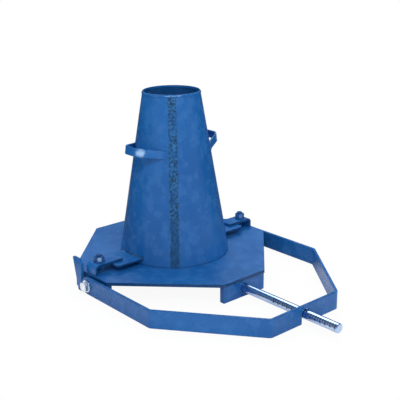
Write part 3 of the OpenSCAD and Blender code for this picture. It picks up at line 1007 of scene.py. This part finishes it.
# Clamp straps
# Flat bar with a hole for the stud, its outer end bent down to a heel that stands on the plate
# and its inner end pressing on the cone's tab.
strap_low, strap_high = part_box("right_clamp_strap")
strap_thick = 0.005
heel_bend = 0.003
strap_hole = 0.0055
strap_round = 0.0009
heel_x = strap_high.x - strap_thick - heel_bend
strap_under = strap_high.z - strap_thick
strap_outline = [
    (strap_low.x, strap_low.y), (heel_x, strap_low.y), (heel_x, strap_high.y), (strap_low.x, strap_high.y)]
for side, turn in side_turns.items():
    strap = cut_flat(
        strap_outline, [(stud_x, 0, strap_hole)], strap_thick, Matrix.Translation((0, 0, strap_under)))
    loop = open_end(strap, Vector((1, 0, 0)))
    loop = bend_on(strap, loop, (heel_x, 0, strap_under - heel_bend), (0, 1, 0), pi / 2)
    loop = run_on(strap, loop, (0, 0, strap_low.z - strap_under + heel_bend))
    bmesh.ops.edgeloop_fill(strap, edges=loop)
    join_flats(strap)
    bmesh.ops.rotate(strap, matrix=Matrix.Rotation(turn, 3, "Z"), verts=strap.verts[:])
    strap = mark(soften(strap, strap_round), "cut", lambda face: abs(face.normal.y) > steep)
    piece(side + "_clamp_strap_painted", strap, blue_enamel, side + "_clamp",
          "blue_enamel", side + "_clamp_strap")

# Clamp washers and nuts
# A plain washer and a hex nut draw each strap down on its stud. They are painted dark, and the
# spanner has rubbed the nuts' flats bare.
hardware_round = 0.0004
nut_flat = 0.008
upright_lean = 0.1
outer_share = 0.9
rub_start = 0.0003
rub_end = 0.0009
bare_steel = (0.34, 0.52, 0.74, 1)


def spanner_worn(name):
    """Dark enamel on a nut, rubbed to bare steel along the middle of its flats."""
    finish, place = new_finish(name)
    coat = enamel_coat(place, *navy_paint, navy_gloss)
    flats = place.marked("flats")
    beside = place.vector("ABSOLUTE").vector("MULTIPLY", (1, 1, 0))
    reach = beside.vector("DISTANCE", (stud_x, 0, 0), "Value")
    reach = reach + place.ragged(0.0006, 420, 3)
    bare = flats * (1 - reach.step(nut_flat + rub_start, nut_flat + rub_end))
    coat["Base Color"] = bare.between(coat["Base Color"], bare_steel)
    coat["Metallic"] = bare
    lay_on(finish, place, coat)
    return finish


def gripped(face):
    """True on a nut's six flats, which the spanner grips, and not in its hole."""
    middle = face.calc_center_median()
    reach = Vector((abs(middle.x) - stud_x, middle.y)).length
    return abs(face.normal.z) < upright_lean and reach > nut_flat * outer_share


nut_enamel = spanner_worn("nut_enamel")
for side in side_turns:
    washer = softened_copy(side + "_clamp_washer", hardware_round)
    piece(side + "_clamp_washer_dark", washer, dark_enamel, side + "_clamp", "clamp_hardware",
          side + "_clamp_washer")
    nut = mark(softened_copy(side + "_clamp_nut", hardware_round), "flats", gripped)
    piece(side + "_clamp_nut_dark", nut, nut_enamel, side + "_nut", "clamp_hardware", side + "_clamp_nut")

# Floor
# A white sheet runs out of sight under the object. The picture shows it white, with the object's
# shadow. In the gloss and bright steel its colour is painted bright in front, behind and beside the
# bail's arm, and dark elsewhere, as painted reflections.
floor_z = cad_low.z
floor_half = 30
floor_white = 0.93
floor_near = 0.5
floor_far = 1.1
near_dim = 0.07
floor_front = (203, 222, 306, 332)
floor_back = (20, 45, 70, 90)
floor_back_share = 0.4
arm_side = (-0.245, -0.02, 0)
arm_patch = (1, 0.55, 0)
patch_full = 0.07
patch_end = 0.12
paper_bounce = (0.82, 0.82, 0.82, 1)
paper_mirrored = (0.95, 0.95, 0.95, 1)
paper_shown = (0.93, 0.93, 0.93, 1)
front_glow = 0.65
back_glow = 0.1
dim_glow = 0.01
dim_blue = (0.004, 0.02, 0.05, 1)
room_front = (155, 165, 296, 332)
room_back = (5, 35, 60, 80)
turn_sliver = 0.0001
black = (0, 0, 0, 1)
white = (1, 1, 1, 1)


def ray(shade, *kinds):
    """1 where any of the given kinds of ray looks, and else 0."""
    seen = shade.add("LightPath", {}, {}, kinds[0])
    for kind in kinds[1:]:
        seen = seen.math("MAXIMUM", seen, shade.add("LightPath", {}, {}, kind))
    return seen


def heading(place):
    """Direction of a place round the room, from 0 to a full turn."""
    x = place.along("X")
    y = place.along("Y")
    turn = x.math("ARCTAN2", y, x)
    return turn + 2 * pi * (1 - turn.step(-turn_sliver, turn_sliver))


def sector(turn, start, full, fade, end):
    """1 from full to fade, in degrees round the room, and 0 before start and after end."""
    return turn.step(radians(start), radians(full)) * (1 - turn.step(radians(fade), radians(end)))


def room(place):
    """The room's light: bright in front, a little behind, and dark at both sides."""
    turn = heading(place)
    light = front_glow * sector(turn, *room_front) + back_glow * sector(turn, *room_back)
    return (dim_glow + light).between(dim_blue, white)


def stage_piece(name, bm, finish):
    """Makes an object that stands round the model and isn't part of it."""
    mesh = bpy.data.meshes.new(name)
    bm.to_mesh(mesh)
    bm.free()
    mesh.materials.append(finish)
    made = bpy.data.objects.new(name, mesh)
    bpy.context.scene.collection.objects.link(made)
    made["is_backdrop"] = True
    return made


floor_finish, place = new_finish("white_floor")
shot = ray(place, "Is Camera Ray", "Is Transmission Ray")
mirrored = ray(place, "Is Glossy Ray")
far = place.vector("LENGTH", output="Value").step(floor_near, floor_far)
turn = heading(place)
# Painted reflection: the floor's colour in gloss, bright or dark by direction, with a bright patch by the
# arm.
aside = place.vector("MULTIPLY", arm_patch).vector("DISTANCE", arm_side, "Value")
arm_reflection_patch = 1 - aside.step(patch_full, patch_end)
reflection_bright = sector(turn, *floor_front) + floor_back_share * sector(turn, *floor_back) + arm_reflection_patch
painted_reflection = near_dim + (1 - near_dim) * reflection_bright
paper = mirrored.between(paper_bounce, painted_reflection.between(black, paper_mirrored))
paper = shot.between(paper, paper_shown)
lay_on(floor_finish, place, {"Base Color": paper, "Roughness": 0.9, "Specular IOR Level": 0.0})
glow = place.add("Emission", {}, {"Color": shot.between(room(place), white)})
plain = Shade(floor_finish.node_tree, floor_finish.node_tree.nodes["Principled BSDF"].outputs[0])
share = shot * (floor_white + (1 - floor_white) * far) + mirrored * far
shown = place.add("MixShader", {}, {0: share, 1: plain, 2: glow})
place.fill(floor_finish.node_tree.nodes["Material Output"], {"Surface": shown})
floor = bmesh.new()
bmesh.ops.create_grid(
    floor, x_segments=1, y_segments=1, size=floor_half, matrix=Matrix.Translation((0, 0, floor_z)))
stage_piece("white_floor", floor, floor_finish)

# Walls
# Dim walls stand round the floor, out of the picture, and glow only in front and behind.
# They give the gloss and the bright steel something dark to show.
wall_r = 4.5
wall_h = 0.95
wall_steps = 96
wall_finish, place = new_finish("room_wall")
glow = place.add("Emission", {}, {"Color": room(place)})
place.fill(wall_finish.node_tree.nodes["Material Output"], {"Surface": glow})
wall = bmesh.new()
foot = wall.verts.new((wall_r, 0, floor_z))
head = wall.verts.new(foot.co + Vector((0, 0, wall_h)))
rise = wall.edges.new((foot, head))
bmesh.ops.spin(
    wall, geom=[foot, head, rise], cent=(0, 0, 0), axis=(0, 0, 1), angle=2 * pi, steps=wall_steps,
    use_merge=True)
stage_piece("room_wall", wall, wall_finish).visible_camera = False

# Light cards
# Two curved white cards fill the shadows from the front and from behind, unseen in the gloss.
# A third stands above the wall at the left and shows in the gloss alone.
card_r = 4.725
card_h = 4.5
fill_glow = 1.05
fill_start = radians(172)
fill_span = radians(142)
back_fill = 0.7
back_start = radians(80)
back_span = radians(60)
left_glow = 0.5
left_start = radians(143)
left_span = radians(32)


def card(name, start, span, low, strength):
    """A curved white card out of the picture, from low up to card_h, that glows evenly."""
    finish, place = new_finish(name)
    glow = place.add("Emission", {}, {"Color": white, "Strength": strength})
    place.fill(finish.node_tree.nodes["Material Output"], {"Surface": glow})
    bm = bmesh.new()
    foot = bm.verts.new((card_r * cos(start), card_r * sin(start), low))
    head = bm.verts.new((foot.co.x, foot.co.y, card_h))
    rise = bm.edges.new((foot, head))
    bmesh.ops.spin(
        bm, geom=[foot, head, rise], cent=(0, 0, 0), axis=(0, 0, 1), angle=span, steps=wall_steps,
        use_merge=False)
    made = stage_piece(name, bm, finish)
    made.visible_camera = False
    return made


card("front_fill", fill_start, fill_span, floor_z, fill_glow).visible_glossy = False
card("back_fill", back_start, back_span, floor_z, back_fill).visible_glossy = False
card("left_card", left_start, left_span, wall_h, left_glow).visible_diffuse = False

# World
# The sky is plain white behind the object and blue-grey in its gloss, and lights it evenly from
# all sides.
ambient = 0.55
sky_shown = (0.09, 0.18, 0.3, 1)
world = bpy.data.worlds.new("white_world")
bpy.context.scene.world = world
world.use_nodes = True
sky = Shade(world.node_tree, None)
lighting = sky.add("Background", {}, {"Color": (ambient, ambient, ambient, 1)})
gloss = sky.add("Background", {}, {"Color": sky_shown})
backdrop = sky.add("Background", {}, {"Color": white})
mixed = sky.add("MixShader", {}, {0: ray(sky, "Is Glossy Ray"), 1: lighting, 2: gloss})
shot = ray(sky, "Is Camera Ray", "Is Transmission Ray")
mixed = sky.add("MixShader", {}, {0: shot, 1: mixed, 2: backdrop})
sky.fill(world.node_tree.nodes["World Output"], {"Surface": mixed})

# Lamps
# A square soft panel stands high behind the object and lays its shadow towards the camera.
# A long narrow one high in front of it lights the faces that the camera sees.
lamps = {
    "rear_soft_panel": ((0.83, 0.95, 1.8), 1.5, 1.5, 18),
    "front_high_panel": ((-0.77, -1.33, 1.97), 2.2, 0.45, 20),
}
for name, (at, wide, high, power) in lamps.items():
    lamp = bpy.data.lights.new(name, "AREA")
    lamp.shape = "RECTANGLE"
    lamp.size = wide
    lamp.size_y = high
    lamp.energy = power
    holder = bpy.data.objects.new(name, lamp)
    holder.location = at
    holder.rotation_euler = (-Vector(at)).to_track_quat("-Z", "Y").to_euler()
    bpy.context.scene.collection.objects.link(holder)

# Camera
# It stands about 1.5 m off, in front and to the left and higher than the mouth, and looks down
# on the object with a short tele lens.
camera_at = Vector((-0.89086, -1.0994, 0.55056))
camera_yaw = radians(41.0)
camera_pitch = radians(17.9)
camera_roll = radians(-0.6)
camera_lens = 72.14
right = Vector((cos(camera_yaw), -sin(camera_yaw), 0))
level = Vector((sin(camera_yaw), cos(camera_yaw), 0))
ahead = level * cos(camera_pitch) - Vector((0, 0, sin(camera_pitch)))
above = right.cross(ahead)
rolled_right = cos(camera_roll) * right + sin(camera_roll) * above
rolled_up = cos(camera_roll) * above - sin(camera_roll) * right
lens = bpy.data.cameras.new("camera")
lens.lens = camera_lens
camera = bpy.data.objects.new("camera", lens)
turned = Matrix((rolled_right, rolled_up, -ahead)).transposed()
camera.matrix_world = Matrix.Translation(camera_at) @ turned.to_4x4()
bpy.context.scene.collection.objects.link(camera)
bpy.context.scene.camera = camera
bpy.context.scene.view_settings.view_transform = "Standard"

low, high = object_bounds()
